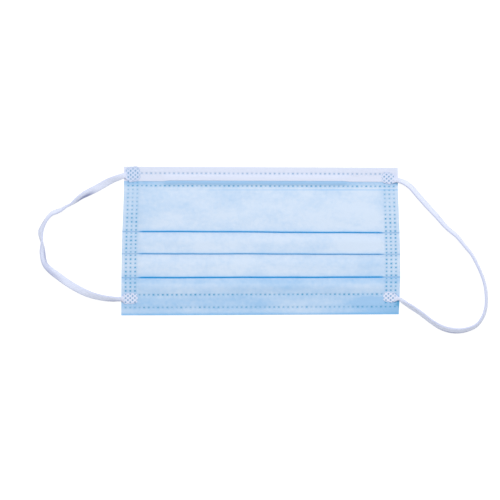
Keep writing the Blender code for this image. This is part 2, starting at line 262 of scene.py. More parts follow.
# The dark edges of the bands where they turn away from the light, as (x, y, reach, edge, middle, shade): edge
# 1 is the route's right and -1 its left, and middle is how much of the shade reaches the band's middle line
BAND_SHADES = {
    "elastic_left": (
        (-0.1115, 0.0282, 0.0105, -1, 0.42, 1.45),
        (-0.1355, 0.0110, 0.0080, -1, 0.40, 0.60),
        (-0.1362, -0.0090, 0.0130, -1, 0.40, 0.80),
        (-0.1310, -0.0190, 0.0130, 1, 0.50, 0.50),
        (-0.0918, -0.0371, 0.0080, 1, 0.25, 0.90),
    ),
    "elastic_right": ((0.1225, -0.0565, 0.0210, -1, 0.02, 1.60),),
}
SHADE_SLOPE = 0.8

# The loops' welded ends: the corner, the centre's distance from the top or bottom edge as a share of the
# height, the turn of the end in degrees, how far the band is drawn together where it leaves the mask, the
# share of the end over which it widens, how wide it is pressed, and how far the cloth's colour shows through
LOOP_ENDS = {
    "top_left": {
        "side": -1, "from_top": True, "inset": 0.061, "turn": 9.0,
        "neck": 0.74, "free": 0.24, "wide": 1.42, "clear": 0.75,
    },
    "top_right": {
        "side": 1, "from_top": True, "inset": 0.086, "turn": -12.0,
        "neck": 0.66, "free": 0.42, "wide": 1.08, "clear": 0.35,
    },
    "bottom_left": {
        "side": -1, "from_top": False, "inset": 0.110, "turn": 3.0,
        "neck": 0.62, "free": 0.20, "wide": 1.0, "clear": 0.20,
    },
    "bottom_right": {
        "side": 1, "from_top": False, "inset": 0.105, "turn": -10.0,
        "neck": 0.44, "free": 0.42, "wide": 0.97, "clear": 0.0,
    },
}

# The loops' routes, from the upper weld to the lower one, as (x, y, z, turn of the flat band in degrees)
LEFT_ROUTE = (
    (-0.0862, 0.0407, 0.00345, 0),
    (-0.0882, 0.0401, 0.00325, 30),
    (-0.0910, 0.0391, 0.00250, 40),
    (-0.0939, 0.0379, 0.00185, 36),
    (-0.0969, 0.0364, 0.00130, 18),
    (-0.1031, 0.0329, 0.00105, 10),
    (-0.1094, 0.0297, 0.00170, 38),
    (-0.1126, 0.0278, 0.00205, 56),
    (-0.1156, 0.0256, 0.00220, 68),
    (-0.1190, 0.0230, 0.00230, 88),
    (-0.1220, 0.0216, 0.00230, 96),
    (-0.1252, 0.0195, 0.00220, 108),
    (-0.1283, 0.0183, 0.00210, 120),
    (-0.1312, 0.0170, 0.00215, 114),
    (-0.1342, 0.0136, 0.00220, 106),
    (-0.1366, 0.0093, 0.00215, 114),
    (-0.1379, 0.0056, 0.00200, 128),
    (-0.1375, 0.0012, 0.00220, 106),
    (-0.1370, -0.0014, 0.00230, 88),
    (-0.1369, -0.0046, 0.00220, 66),
    (-0.1367, -0.0082, 0.00205, 54),
    (-0.1361, -0.0119, 0.00200, 56),
    (-0.1347, -0.0154, 0.00200, 54),
    (-0.1315, -0.0186, 0.00170, 38),
    (-0.1284, -0.0210, 0.00110, 12),
    (-0.1222, -0.0256, 0.00095, 6),
    (-0.1159, -0.0295, 0.00090, 0),
    (-0.1097, -0.0326, 0.00125, -18),
    (-0.1035, -0.0347, 0.00155, -30),
    (-0.0971, -0.0360, 0.00175, -38),
    (-0.0926, -0.0364, 0.00195, -42),
    (-0.0895, -0.0365, 0.00230, -36),
    (-0.0880, -0.0364, 0.00245, 0),
)
RIGHT_ROUTE = (
    (0.0864, 0.0379, 0.00345, 0),
    (0.0885, 0.0373, 0.00330, 36),
    (0.0911, 0.0360, 0.00285, 50),
    (0.0943, 0.0335, 0.00235, 54),
    (0.0974, 0.0299, 0.00205, 54),
    (0.1037, 0.0227, 0.00205, 54),
    (0.1099, 0.0160, 0.00210, 58),
    (0.1162, 0.0087, 0.00215, 68),
    (0.1227, 0.0032, 0.00220, 70),
    (0.1257, -0.0004, 0.00225, 74),
    (0.1288, -0.0042, 0.00225, 78),
    (0.1320, -0.0082, 0.00225, 80),
    (0.1353, -0.0141, 0.00225, 82),
    (0.1385, -0.0213, 0.00225, 82),
    (0.1404, -0.0272, 0.00225, 82),
    (0.1412, -0.0326, 0.00225, 80),
    (0.1414, -0.0383, 0.00225, 80),
    (0.1407, -0.0434, 0.00225, 78),
    (0.1391, -0.0477, 0.00225, 77),
    (0.1361, -0.0520, 0.00225, 75),
    (0.1320, -0.0546, 0.00220, 70),
    (0.1257, -0.0562, 0.00215, 62),
    (0.1193, -0.0560, 0.00205, 56),
    (0.1130, -0.0541, 0.00210, 60),
    (0.1068, -0.0504, 0.00220, 68),
    (0.1005, -0.0455, 0.00220, 66),
    (0.0942, -0.0413, 0.00215, 64),
    (0.0911, -0.0393, 0.00220, 66),
    (0.0893, -0.0380, 0.00240, 40),
    (0.0882, -0.0372, 0.00255, 0),
)

# The view: straight down, as wide as the photograph shows at the mask's size
PHOTO_WIDTH = 0.31375
PHOTO_CENTRE = (-0.00675, -0.00571)
CAMERA_HEIGHT = 1.6
SENSOR_WIDTH = 36.0
CLIP_START = 0.05
KEY_LIGHT = {"location": (0.10, 0.65, 1.08), "target": (0.0, 0.0, 0.0), "size": 0.8, "power": 9.8}
SKY_STRENGTH = 0.70
FLOOR_REACH = 3.0
FLOOR_DROP = 0.0003
FLOOR_GLOW = 0.75

# Colours, as linear red, green and blue and a 1. The cloths' crease colours paint shade along the folds, the
# blue's deep colour is partly painted shade, its weld colour also paints shadow under the elastic's ends, and
# the elastic's edge and shade colours paint shade on the bands
PLAIN_WHITE = (1.0, 1.0, 1.0, 1.0)
BLUE_CLOTH = {
    "light": (0.56, 0.66, 0.80, 1.0), "deep": (0.295, 0.49, 0.735, 1.0),
    "crease": (0.01, 0.37, 0.80, 1.0), "weld": (0.05, 0.29, 0.53, 1.0),
}
WHITE_CLOTH = {
    "light": (0.61, 0.655, 0.79, 1.0), "deep": (0.53, 0.60, 0.76, 1.0),
    "crease": (0.45, 0.53, 0.72, 1.0), "weld": (0.24, 0.38, 0.58, 1.0),
}
ELASTIC = {
    "light": (0.70, 0.745, 0.89, 1.0), "deep": (0.62, 0.665, 0.83, 1.0), "clear": (0.52, 0.61, 0.80, 1.0),
    "edge": (0.46, 0.50, 0.72, 1.0), "shade": (0.22, 0.25, 0.45, 1.0), "weld": (0.08, 0.27, 0.48, 1.0),
}
ELASTIC_SHARES = {"edge": 0.50, "shade": 0.90, "weld": 0.92}
COATING = {"light": (0.80, 0.81, 0.84, 1.0), "deep": (0.72, 0.73, 0.78, 1.0)}
FLOOR = {"light": (0.36, 0.36, 0.36, 1.0), "deep": (0.34, 0.34, 0.34, 1.0)}

# Textures: noise scales per metre, pitches in metres, and bumps as a distance and a strength
CLOUD_SCALES = (42.0, 95.0, 60.0)
CLOUD_TURN = 8.0
FINE_CLOUD_SCALE = 420.0
FINE_CLOUD_SHARE = 0.55
WELD_AND_SHADOW_SHARE = 0.90
FIBRES = (
    {"scales": (900.0, 5200.0, 1500.0), "turn": 24.0},
    {"scales": (5200.0, 900.0, 1500.0), "turn": 12.0},
)
BOND_PITCH = 0.00095
BOND_BUMP = (0.00005, 0.5)
FIBRE_BUMP = (0.00008, 0.5)
CLOUD_BUMP = (0.0008, 0.35)
STITCH_PITCH = 0.00062
STITCH_BUMP = (0.00007, 0.6)
YARN_SCALE = 3500.0
YARN_BUMP = (0.00006, 0.4)
ELASTIC_CLOUD_SCALE = 300.0
COATING_CLOUD_SCALE = 220.0
COATING_GRAIN_SCALE = 1800.0
COATING_BUMP = (0.00003, 0.4)
FLOOR_CLOUD_SCALE = 6.0


# Small helpers

def smooth(share):
    """0 up to share 0, 1 from share 1, and a smooth step between."""
    share = min(max(share, 0.0), 1.0)
    return share * share * (3 - 2 * share)


def rounded(value, power):
    """The value with its size raised to a power and its sign kept."""
    return math.copysign(abs(value) ** power, value)


def from_table(rows, key, column=1):
    """A table's value at a key, read straight between its rows. The first column has the keys."""
    for row, following in zip(rows, rows[1:]):
        if key <= following[0]:
            share = (key - row[0]) / (following[0] - row[0])
            return row[column] + (following[column] - row[column]) * max(share, 0.0)
    return rows[-1][column]


def loose(x):
    """0 in the pressed side seams, 1 in the loose cloth between them."""
    return smooth((MASK_WIDTH / 2 - abs(x) - SEAM_WIDTH) / SEAM_FADE)


# The shape of the cloth

def layer_of(x):
    return LAYER_PRESSED + (LAYER - LAYER_PRESSED) * loose(x)


def ply_of(x):
    return PLY_PRESSED + (PLY - PLY_PRESSED) * loose(x)


def pitch_of(x):
    return ply_of(x) + NEST_PRESSED + (NEST - NEST_PRESSED) * loose(x)


def level(x, count):
    """Height of the middle of a ply that has count plies under it."""
    return ply_of(x) / 2 + count * pitch_of(x)


def wire_lift(x, y):
    """How far the nose wire lifts the outer layer and the hem's front."""
    past_end = abs(x - WIRE_OFFSET) - WIRE_LENGTH / 2 - WIRE_END_ROOM
    past_side = abs(TOP - y - WIRE_DROP) - WIRE_WIDTH / 2 - WIRE_SIDE_ROOM
    slope = PANEL_TOP_DOTS - WIRE_DROP - WIRE_WIDTH / 2 - WIRE_SIDE_ROOM
    across = 1 - smooth(past_side / slope)
    return (WIRE_THICKNESS + HEM_NEST) * across * (1 - smooth(past_end / RIDGE_RUNOUT))


def ripple(x, y):
    """Low waves of the cloth, which die out towards the seams and hems."""
    drop = TOP - y
    calm = smooth((drop - PANEL_TOP_DOTS) / RIPPLE_TOP_FADE)
    calm *= smooth((MASK_HEIGHT - drop - RIPPLE_FROM_BOTTOM) / RIPPLE_BOTTOM_FADE)
    calm *= smooth((MASK_WIDTH / 2 - abs(x) - RIPPLE_FROM_SIDE) / RIPPLE_SIDE_FADE)
    point = Vector((x / RIPPLE_LENGTH, 0.7 * y / RIPPLE_LENGTH, 3.7))
    wave = 0.5 + 0.5 * noise.noise(point) + 0.25 * noise.noise(point * 2.3)
    return RIPPLE_HEIGHT * max(wave, 0.0) * calm


def crest(x, y):
    """The soft wave that the lowest panel makes below the last pleat."""
    below = pleat_edge(PLEATS[-1]) - y
    share = (below - CREST_DROP) / (CREST_SPAN / 2)
    if abs(share) >= 1:
        return 0.0
    strength = 0.8 + 0.4 * noise.noise(Vector((x / CREST_LENGTH, 1.3, 0.2)))
    return CREST_HEIGHT * strength * (0.5 + 0.5 * math.cos(math.pi * share)) * (0.35 + 0.65 * loose(x))


def place(x, y, z, lifted):
    """A point of the flat pattern on the mask's outline, with its waves. Lifted ones lie over the wire."""
    across = x / MASK_WIDTH + 0.5
    down = 0.5 - y / MASK_HEIGHT
    left = -MASK_WIDTH / 2 + EDGE_BULGE * from_table(SIDE_OUTLINE, down)
    right = MASK_WIDTH / 2 - EDGE_BULGE * from_table(SIDE_OUTLINE, down, column=2)
    taper = 1 - RIGHT_SIDE_SHORTER / MASK_HEIGHT * across
    real_x = left + (right - left) * across
    wave = noise.noise(Vector((x / WANDER_LENGTH_X, y / WANDER_LENGTH_Y, 8.1)))
    wander = EDGE_WANDER * wave * 8 * max(min(down, 1 - down), 0.0)
    sag = RIGHT_SAG * smooth(1.2 * across - 0.2) * max(1 - abs(down - SAG_DOWN) / SAG_REACH, 0.0)
    lift = wire_lift(real_x, y) if lifted else 0.0
    return Vector((real_x, (y + wander) * taper - sag, z + lift + ripple(x, y)))


def turn(centre_y, centre_z, radius, side, steps):
    """Half a circle from its top to its bottom, bulging to the given side of Y, without its two ends."""
    angles = [math.pi * step / steps for step in range(1, steps)]
    return [(centre_y + side * radius * math.sin(a), centre_z + radius * math.cos(a)) for a in angles]


def pleat_edge(pleat):
    return TOP - pleat["edge"] * MASK_HEIGHT


def stretch(high, low, z_at, face, ends=("side", "side")):
    """Lines of the path from one row of dots to another: all rows of dots between, and the lines halfway."""
    count = max(round((high - low) / DOT_ROW_PITCH), 1)
    lines = []
    for number in range(count + 1):
        y = high + (low - high) * number / count
        kind = ends[0] if number == 0 else ends[1] if number == count else "side"
        lines.append({"y": y, "dots": kind, "face": face})
        if number < count:
            lines.append({"y": y + (low - high) / count / 2})
    for line in lines:
        line["z"] = z_at(line["y"])
    return lines


def spots(table, x, y):
    """The sum of a table's soft spots at a place."""
    total = 0.0
    for spot_x, spot_y, reach_x, reach_y, amount in table:
        away = math.hypot((x - spot_x) / reach_x, (y - spot_y) / reach_y)
        total += amount * (1 - smooth(away))
    return total


def web_path(x):
    """The web's middle line at x, from under the top hem to the end of the bottom hem."""
    reach = (pitch_of(x) + ply_of(x)) / 2
    radius = pitch_of(x) / 2
    side_tone = SEAM_LINE + (1 - SEAM_LINE) * loose(x)
    ground = level(x, 0)
    drops = (TOP_LINE, HEM_DOTS, WIRE_UPPER_SIDE, WIRE_DROP, FIRST_SIDE_DOTS - BESIDE_DOTS)
    rows = [{"y": TOP - drop, "z": ground} for drop in drops]
    rows.append({"y": TOP - FIRST_SIDE_DOTS, "z": ground, "dots": "side", "face": "outer"})
    rows.append({"y": TOP - (FIRST_SIDE_DOTS + PANEL_TOP_DOTS) / 2, "z": ground})
    start = TOP - PANEL_TOP_DOTS
    first = "full"
    for pleat in PLEATS:
        edge = pleat_edge(pleat)
        tone = side_tone * pleat["line"]

        def climb(y, foot=start, head=edge + PLEAT_DEPTH):
            share = min(max((foot - y) / (foot - head), 0.0), 1.0)
            return level(x, 0) + (level(x, 2) - level(x, 0)) * (0.5 * share + 0.5 * smooth(share))

        panel = stretch(start, edge + FOLD_CLEAR, climb, "outer", (first, "side"))
        # Painted shade on the panel where it rolls over into the fold
        for row in panel:
            row["crease"] = PANEL_SHADE * tone * max(1 - (row["y"] - edge) / PANEL_SHADE_REACH, 0.0) ** 2
            if row["y"] > edge + PLEAT_DEPTH and "dots" in row:
                row["face"] = "both"
        rows += panel
        # Painted shade line along the fold's edge and round its bend
        rows.append({"y": edge + reach, "z": level(x, 2), "crease": FOLD_TOP_LINE * tone})
        bend = turn(edge + reach, level(x, 1.5), radius, -1, TURN_STEPS)
        rows += [{"y": y, "z": z, "crease": tone} for y, z in bend]
        rows.append({"y": edge + reach, "z": level(x, 1), "crease": tone})
        inner_bend = edge + PLEAT_DEPTH - reach
        rows.append({"y": inner_bend, "z": level(x, 1), "crease": HIDDEN_LINE})
        bend = turn(inner_bend, level(x, 0.5), radius, 1, TURN_STEPS)
        rows += [{"y": y, "z": z, "crease": HIDDEN_LINE} for y, z in bend]
        rows.append({"y": inner_bend, "z": ground, "crease": HIDDEN_LINE})
        rows += stretch(edge + PLEAT_DEPTH - 2 * FOLD_CLEAR, edge + 2 * FOLD_CLEAR, lambda y: ground, "inner")
        # Painted shade line on the cloth just below the fold
        rows.append({"y": edge + LINE_ABOVE, "z": ground, "crease": tone})
        rows.append({"y": edge - LINE_BELOW, "z": ground, "crease": tone})
        rows.append({"y": edge - LINE_END, "z": ground, "crease": pleat["below"] * side_tone})
        start = edge - FOLD_CLEAR
        first = "side"
    hem_end = -TOP + BOTTOM_HEM

    def last_climb(y, foot=start):
        share = (foot - y) / (foot - hem_end - PLEAT_SETBACK)
        return level(x, 0) + (level(x, 1) - level(x, 0)) * smooth(share) + crest(x, y)

    bottom = -TOP + reach
    upper_dots = TOP - HEM_UPPER_DOTS
    lower_dots = TOP - HEM_LOWER_DOTS
    rows += stretch(start, upper_dots, last_climb, "outer", ("side", "full"))
    rows += stretch(upper_dots, lower_dots, last_climb, "outer", ("full", "full"))[1:]
    # Painted shade towards and round the bottom hem's folded edge
    for drop in HEM_LINES:
        rows.append({"y": lower_dots - drop, "z": last_climb(lower_dots - drop), "crease": HEM_FOLD["near"]})
    rows.append({"y": bottom, "z": level(x, 1), "crease": HEM_FOLD["front"]})
    bend = turn(bottom, level(x, 0.5), radius, -1, TURN_STEPS)
    rows += [{"y": y, "z": z, "crease": HEM_FOLD["bend"]} for y, z in bend]
    rows.append({"y": bottom, "z": ground, "crease": HEM_FOLD["back"]})
    rows.append({"y": lower_dots - HEM_LINES[0], "z": ground})
    rows += stretch(lower_dots, upper_dots, lambda y: ground, "outer", ("full", "full"))
    rows.append({"y": upper_dots + BESIDE_DOTS, "z": ground})
    rows.append({"y": hem_end, "z": ground})
    return rows


def shifted(rows, distance):
    """The same rows moved by a distance along the normal of their line, towards the outer face."""
    moved = []
    for index, row in enumerate(rows):
        before = rows[max(index - 1, 0)]
        after = rows[min(index + 1, len(rows) - 1)]
        along = Vector((after["y"] - before["y"], after["z"] - before["z"])).normalized()
        moved.append({**row, "y": row["y"] + along.y * distance, "z": row["z"] - along.x * distance})
    return moved


def outer_path(x):
    """The blue layer's middle line, over the nose wire at its start."""
    rows = shifted(web_path(x), (ply_of(x) - layer_of(x)) / 2)
    for row in rows:
        row["lifted"] = row["y"] > TOP - PANEL_TOP_DOTS
    return rows


def inner_path(x):
    """The white layer's middle line: the hem's front, round the top edge, down the back, along the web."""
    layer = layer_of(x)
    front = ply_of(x) + HEM_NEST + layer / 2
    back = layer / 2
    radius = (front - back) / 2
    bend = TOP - radius - layer / 2
    near = BESIDE_HEM_DOTS
    drops = (HEM_FRONT, WIRE_DROP, WIRE_UPPER_SIDE, HEM_DOTS + near)
    rows = [{"y": TOP - drop, "z": front, "lifted": True} for drop in drops]
    rows[0]["y"] += HEM_RISE * min(wire_lift(x, TOP - WIRE_DROP) / WIRE_THICKNESS, 1.0)
    rows.append({"y": TOP - HEM_DOTS, "z": front, "lifted": True, "dots": "hem", "face": "inner"})
    rows += [{"y": TOP - drop, "z": front, "lifted": True} for drop in (HEM_DOTS - near, EDGE_LINE)]
    rows.append({"y": bend, "z": front})
    rows += [{"y": y, "z": z} for y, z in turn(bend, (front + back) / 2, radius, 1, HEM_TURN_STEPS)]
    rows.append({"y": bend, "z": back})
    rows.append({"y": TOP - HEM_DOTS + near, "z": back})
    rows.append({"y": TOP - HEM_DOTS, "z": back, "dots": "hem", "face": "inner"})
    rows.append({"y": TOP - HEM_DOTS - near, "z": back})
    rows += shifted(web_path(x), -(ply_of(x) - layer) / 2)[2:]
    return rows


def blue_depth_and_shade(x, y):
    """How deep the blue looks at a place of the flat pattern, painted shade included."""
    drop = TOP - y
    deep = from_table(BLUE_DEPTH_AND_SHADE, drop)
    in_hem = smooth((drop - HEM_UPPER_DOTS) / HEM_DEPTH_FADE)
    deep *= 1 + (from_table(HEM_DEPTH, x / MASK_WIDTH + 0.5) - 1) * in_hem
    # Painted shade below the hem's edge where the nose wire lifts it
    if drop < PANEL_TOP_DOTS - RIDGE_END_ROOM:
        deep += RIDGE_SHADE * min(wire_lift(x, TOP - WIRE_DROP) / WIRE_THICKNESS, 1.0)
    return deep + spots(CLOUDS, x, y) + SEAM_DEPTH * (1 - loose(x))


def stations():
    """Lines across the web: each column of weld dots, and the lines halfway between them."""
    first = -MASK_WIDTH / 2
    lines = [first, first + DOT_COLUMN_START / 2]
    for column in range(DOT_COLUMNS + 1):
        x = first + DOT_COLUMN_START + column * DOT_COLUMN_PITCH
        lines += [x, min(x + DOT_COLUMN_PITCH / 2, MASK_WIDTH / 2 - DOT_COLUMN_START / 2)]
    lines.append(MASK_WIDTH / 2)
    return lines


def column_of(index):
    """The number of the column of weld dots on a line, or None between two columns."""
    return (index - 2) // 2 if index >= 2 and index % 2 == 0 else None


def has_dot(row, column, exposed):
    if column is None or "dots" not in row or not 0 <= column <= DOT_COLUMNS:
        return False
    if row["face"] not in (exposed, "both"):
        return False
    at_side = column < SIDE_COLUMNS or column > DOT_COLUMNS - SIDE_COLUMNS
    return {"side": at_side, "full": True, "hem": not at_side}[row["dots"]]


def quilt(row, index):
    """The cloth stands up a little between the dots of a seam."""
    near_side = index < 2 * SIDE_COLUMNS + 3 or index > 2 * (DOT_COLUMNS - SIDE_COLUMNS) + 1
    between = column_of(index) is None or "dots" not in row
    full = row.get("dots") in ("full", "hem")
    return QUILT_LIFT if between and (near_side or full) else 0.0


def add_layer(name, path_at, exposed, material):
    """A thin closed sheet along path_at. Its exposed face, outer or inner, has the pressed weld dots."""
    mesh = bmesh.new()
    marks = {mark: mesh.verts.layers.float.new(mark) for mark in ("weld", "crease", "deep")}
    lines = stations()
    paths = [path_at(x) for x in lines]
    seen_side = 1 if exposed == "outer" else -1
    shades = CONTACT_SHADES if exposed == "outer" else ()
    seen, hidden = [], []
    for index, (x, path) in enumerate(zip(lines, paths)):
        for side, columns in ((seen_side, seen), (-seen_side, hidden)):
            points = []
            for row, centre in zip(shifted(path, side * layer_of(x) / 2), path):
                lift = quilt(row, index) if row.get("face", exposed) in (exposed, "both") else 0.0
                vertex = mesh.verts.new(place(x, row["y"], row["z"] + lift, row.get("lifted", False)))
                # The weld mark starts as painted shadow under the elastic's lifted ends
                vertex[marks["weld"]] = min(spots(shades, vertex.co.x, vertex.co.y), 1.0)
                vertex[marks["crease"]] = row.get("crease", 0.0)
                vertex[marks["deep"]] = blue_depth_and_shade(x, centre["y"])
                points.append(vertex)
            columns.append(points)
    cut = set()
    for i in range(2, len(lines) - 1):
        for j in range(1, len(paths[i]) - 1):
            if has_dot(paths[i][j], column_of(i), exposed):
                press_dot(mesh, seen, hidden, i, j, paths[i][j], marks)
                cut |= {(i - 1, j - 1), (i - 1, j), (i, j - 1), (i, j)}
    for i in range(len(lines) - 1):
        for j in range(len(paths[i]) - 1):
            if (i, j) not in cut:
                mesh.faces.new((seen[i][j], seen[i][j + 1], seen[i + 1][j + 1], seen[i + 1][j]))
            mesh.faces.new((hidden[i][j], hidden[i + 1][j], hidden[i + 1][j + 1], hidden[i][j + 1]))
        for j in (0, len(paths[i]) - 1):
            mesh.faces.new((seen[i][j], seen[i + 1][j], hidden[i + 1][j], hidden[i][j]))
    for i in (0, len(lines) - 1):
        for j in range(len(paths[i]) - 1):
            mesh.faces.new((seen[i][j], seen[i][j + 1], hidden[i][j + 1], hidden[i][j]))
    bare = [vertex for vertex in mesh.verts if not vertex.link_faces]
    bmesh.ops.delete(mesh, geom=bare, context="VERTS")
    return finish_mesh(name, mesh, material)


def dot_strength(at, kind):
    """How dark a weld dot looks: uneven, and faint high in the side seams and in the lowest row."""
    strength = DOT_TONE + DOT_UNEVEN * noise.noise(at * DOT_NOISE_SCALE)
    if kind == "side":
        below = (SIDE_DOTS["from"] - at.y) / SIDE_DOTS["over"]
        strength *= SIDE_DOTS["faintest"] + SIDE_DOTS["gain"] * smooth(below)
    elif at.y < TOP - HEM_LOWER_DOTS + LOWEST_DOTS["room"]:
        past = (at.x - LOWEST_DOTS["from"]) / LOWEST_DOTS["over"]
        strength *= LOWEST_DOTS["faintest"] + LOWEST_DOTS["gain"] * smooth(past)
    return strength


def press_dot(mesh, seen, hidden, i, j, row, marks):
    """One weld dot: a flat-bottomed pit in the exposed face, in place of four faces round a grid point."""
    centre = seen[i][j]
    inwards = (hidden[i][j].co - centre.co) * DOT_DEPTH_SHARE
    around = [
        seen[i + a][j + b]
        for a, b in ((-1, -1), (-1, 0), (-1, 1), (0, 1), (1, 1), (1, 0), (1, -1), (0, -1))
    ]
    stretched = DOT_STRETCH if row["dots"] in ("full", "hem") else 1.0
    strength = dot_strength(centre.co, row["dots"])

    def new_point(offset, depth, weld):
        vertex = mesh.verts.new(centre.co + offset + inwards * depth)
        vertex[marks["weld"]] = weld * strength
        vertex[marks["crease"]] = centre[marks["crease"]]
        vertex[marks["deep"]] = centre[marks["deep"]]
        return vertex

    rings = [around]
    for pit in DOT_RINGS:
        ring = []
        for corner in around:
            way = corner.co - centre.co
            reach = min(pit["radius"], pit["most"] * way.length)
            way.normalize()
            offset = Vector((way.x * stretched, way.y, way.z)) * reach
            ring.append(new_point(offset, pit["depth"], pit["weld"]))
        rings.append(ring)
    middle = new_point(Vector(), 1.0, 1.0)
    faces_between(mesh, rings)
    for k in range(len(ring)):
        mesh.faces.new((ring[k], ring[(k + 1) % len(ring)], middle))


def finish_mesh(name, mesh, material):
    bmesh.ops.recalc_face_normals(mesh, faces=mesh.faces)
    data = bpy.data.meshes.new(name)
    mesh.to_mesh(data)
    mesh.free()
    data.shade_smooth()
    data.set_sharp_from_angle(angle=math.radians(SHARP_ANGLE))
    data.materials.append(material)
    obj = bpy.data.objects.new(name, data)
    bpy.context.scene.collection.objects.link(obj)
    return obj


def faces_between(mesh, rings):
    """Faces between rings of equal length."""
    for ring, following in zip(rings, rings[1:]):
        for k in range(len(ring)):
            after = (k + 1) % len(ring)
            mesh.faces.new((ring[k], ring[after], following[after], following[k]))


def join_rings(mesh, rings):
    """Faces between the rings, and a cap at both ends."""
    faces_between(mesh, rings)
    mesh.faces.new(rings[0])
    mesh.faces.new(rings[-1])


# Nose wire

def add_nose_wire(material):
    """A flat coated strip with two cores, which show as low ribs along it."""
    mesh = bmesh.new()
    half = WIRE_WIDTH / 2
    rings = []
    for step in range(WIRE_STEPS + 1):
        x = WIRE_OFFSET + (step / WIRE_STEPS - 0.5) * WIRE_LENGTH
        from_end = min(step, WIRE_STEPS - step) / WIRE_STEPS * WIRE_LENGTH
        narrow = min(1.0, WIRE_END_SHARE + from_end / WIRE_END_SLOPE)
        ring = []
        for k in range(WIRE_SIDES):
            angle = 2 * math.pi * k / WIRE_SIDES
            across = rounded(math.cos(angle), WIRE_POWER) * half * narrow
            core = math.cos(math.pi * (across / half + 1)) ** 2
            thickness = WIRE_THICKNESS / 2 * (WIRE_WAIST + (1 - WIRE_WAIST) * core)
            up = rounded(math.sin(angle), WIRE_POWER) * thickness
            y = place(x, TOP - WIRE_DROP + across, 0.0, False).y
            ring.append(mesh.verts.new((x, y, LAYER + HEM_NEST / 2 + WIRE_THICKNESS / 2 + up)))
        rings.append(ring)
    join_rings(mesh, rings)
    return finish_mesh("nose_wire_strip", mesh, material)


# Ear loops

def cloth_top(from_top):
    """Height of the cloth's upper face in the side seams, under a welded end."""
    x = MASK_WIDTH / 2
    if from_top:
        return ply_of(x) + HEM_NEST + layer_of(x)
    return level(x, 1) + ply_of(x) / 2


def loop_end_points(end):
    """Points along a welded end, from its inner end to the mask's edge."""
    y = TOP - end["inset"] * MASK_HEIGHT if end["from_top"] else -TOP + end["inset"] * MASK_HEIGHT
    edge = place(end["side"] * MASK_WIDTH / 2, y, 0.0, False)
    inwards = Matrix.Rotation(math.radians(end["turn"]), 2) @ Vector((-end["side"], 0.0))
    base = cloth_top(end["from_top"])
    points = []
    for share in LOOP_END_SHARES:
        centre = Vector((edge.x, edge.y)) + inwards * LOOP_END_LENGTH * share
        flat = smooth(share / end["free"])
        thickness = BAND_THICKNESS + (LOOP_END_THICKNESS - BAND_THICKNESS) * flat
        at = Vector((centre.x, centre.y, base + thickness / 2))
        past = max(share - TIP_START, 0.0)
        tip = math.sqrt(1 - TIP_ROUNDING * past ** 2 / TIP_LENGTH ** 2) * (1 + (end["wide"] - 1) * flat)
        points.append({"at": at, "turn": 0.0, "flat": flat, "width": end["neck"], "tip": tip})
    return points


def least_height(turn_degrees):
    """How high the middle of the band is when its lowest edge lies on the surface."""
    spread = (BAND_WIDTH - BAND_THICKNESS) / 2 * abs(math.sin(math.radians(turn_degrees)))
    return spread + BAND_THICKNESS / 2


def loop_points(route, upper, lower, lean):
    """A whole loop as points from weld to weld: the ends on the cloth, and the route between them.

    A band that stands on its edge leans over by lean degrees, as soft elastic does.
    """
    first = loop_end_points(LOOP_ENDS[upper])
    last = loop_end_points(LOOP_ENDS[lower])
    middle = []
    for number, (x, y, z, turn_degrees) in enumerate(route[1:-1]):
        if abs(turn_degrees) > STANDING_TURN:
            turn_degrees -= lean * min(max((90 - turn_degrees) / LEAN_FADE, -1), 1)
        end, at_edge = (upper, first[-1]) if number < len(route) / 2 else (lower, last[-1])
        height = cloth_top(LOOP_ENDS[end]["from_top"]) + BAND_THICKNESS / 2
        away = (Vector((x, y)) - at_edge["at"].to_2d()).length
        width = 1 - (1 - LOOP_ENDS[end]["neck"]) * (1 - smooth(away / NECK_LENGTH))
        least = least_height(turn_degrees) + BAND_CLEAR
        z = max(min(z, max(height, least)), least)
        at = Vector((x, y, z))
        middle.append({"at": at, "turn": float(turn_degrees), "flat": 0.0, "width": width, "tip": 1.0})
    return first + middle + list(reversed(last))


def catmull(before, start, end, after, t):
    return 0.5 * (
        2 * start + (end - before) * t + (2 * before - 5 * start + 4 * end - after) * t**2
        + (3 * start - before - 3 * end + after) * t**3
    )


def along_loop(points):
    """Points at even distances along a smooth curve through the loop's points, closer on its ends."""
    fine = []
    for index in range(len(points) - 1):
        four = [points[min(max(index + k, 0), len(points) - 1)] for k in (-1, 0, 1, 2)]
        for step in range(CURVE_STEPS):
            t = step / CURVE_STEPS
            point = {key: catmull(*[p[key] for p in four], t) for key in ("at", "turn")}
            for key in ("flat", "width", "tip"):
                point[key] = four[1][key] + (four[2][key] - four[1][key]) * t
            fine.append(point)
    fine.append(points[-1])
    chosen = [fine[0]]
    walked = 0.0
    for before, point in zip(fine, fine[1:]):
        walked += (point["at"] - before["at"]).length
        if walked >= (LOOP_END_STEP if point["flat"] > ON_WELD else BAND_STEP):
            chosen.append(point)
            walked = 0.0
    return chosen


